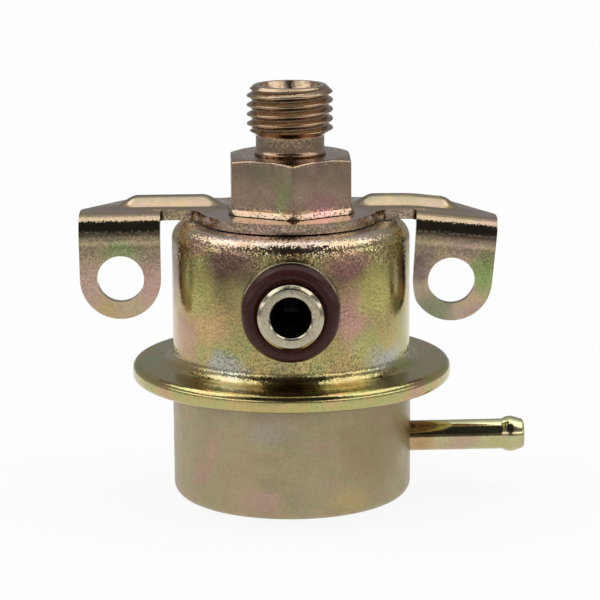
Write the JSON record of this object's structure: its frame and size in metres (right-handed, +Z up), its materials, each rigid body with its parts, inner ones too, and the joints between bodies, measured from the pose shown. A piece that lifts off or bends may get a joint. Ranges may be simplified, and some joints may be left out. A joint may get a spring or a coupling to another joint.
{
  "type": "fuel pressure regulator",
  "caption": "Diaphragm fuel pressure regulator: crimped round can with threaded outlet, front inlet spigot with O-ring, side vacuum nipple and two-eared bracket.",
  "frame": {"origin": "centre of the lower housing's flat bottom, on the cans' axis", "axes": "+Z up through the threaded outlet, -Y along the inlet spigot, +X along the vacuum nipple"},
  "size_m": [0.0719, 0.0518, 0.0669],
  "materials": {
    "gold_zinc": "yellow chromated zinc plate, half gloss",
    "matt_gold_zinc": "yellow chromated zinc plate, matt",
    "bracket_zinc": "yellow chromated zinc plate on rolled sheet",
    "fitting_zinc": "yellow chromated zinc plate on turned steel",
    "nipple_zinc": "yellow chromated zinc plate, glossy",
    "turned_steel": "turned and pressed steel",
    "stainless": "ground stainless steel",
    "spring_steel": "drawn spring wire",
    "brass": "turned brass",
    "red_rubber": "dark red-brown fluoro rubber",
    "black_rubber": "cloth-backed black rubber"
  },
  "bodies": {
    "housing": {"lower_housing": "matt_gold_zinc", "upper_housing": "gold_zinc", "mounting_bracket": "bracket_zinc", "outlet_fitting": "fitting_zinc", "return_tube": "turned_steel", "valve_seat": "stainless", "inlet_spigot": "fitting_zinc", "inlet_o_ring": "red_rubber", "vacuum_nipple": "nipple_zinc", "spring_seat": "turned_steel", "main_spring": "spring_steel", "diaphragm": "black_rubber"},
    "valve_group": {"valve_carrier": "turned_steel", "diaphragm_plate": "turned_steel", "spring_plate": "turned_steel", "rivet_washer": "turned_steel", "ball_retainer": "brass", "ball_spring": "spring_steel"},
    "ball": {"valve_ball": "stainless"},
    "plate": {"valve_plate": "stainless"}
  },
  "joints": [
    {"name": "valve_lift", "type": "slide", "parent": "housing", "child": "valve_group", "axis": [0, 0, -1], "range_m": [0, 0.001], "stiffness_N_per_m": 2000, "springref_m": -0.001, "deforming": ["main_spring", "diaphragm"]},
    {"name": "ball_tilt", "type": "hinge", "parent": "valve_group", "child": "ball", "pos_m": [0, 0, 0.02255], "axis": [1, 0, 0], "range_deg": [-2, 2]},
    {"name": "plate_tilt", "type": "hinge", "parent": "ball", "child": "plate", "pos_m": [0, 0, 0.02255], "axis": [0, 1, 0], "range_deg": [-2, 2]}
  ]
}
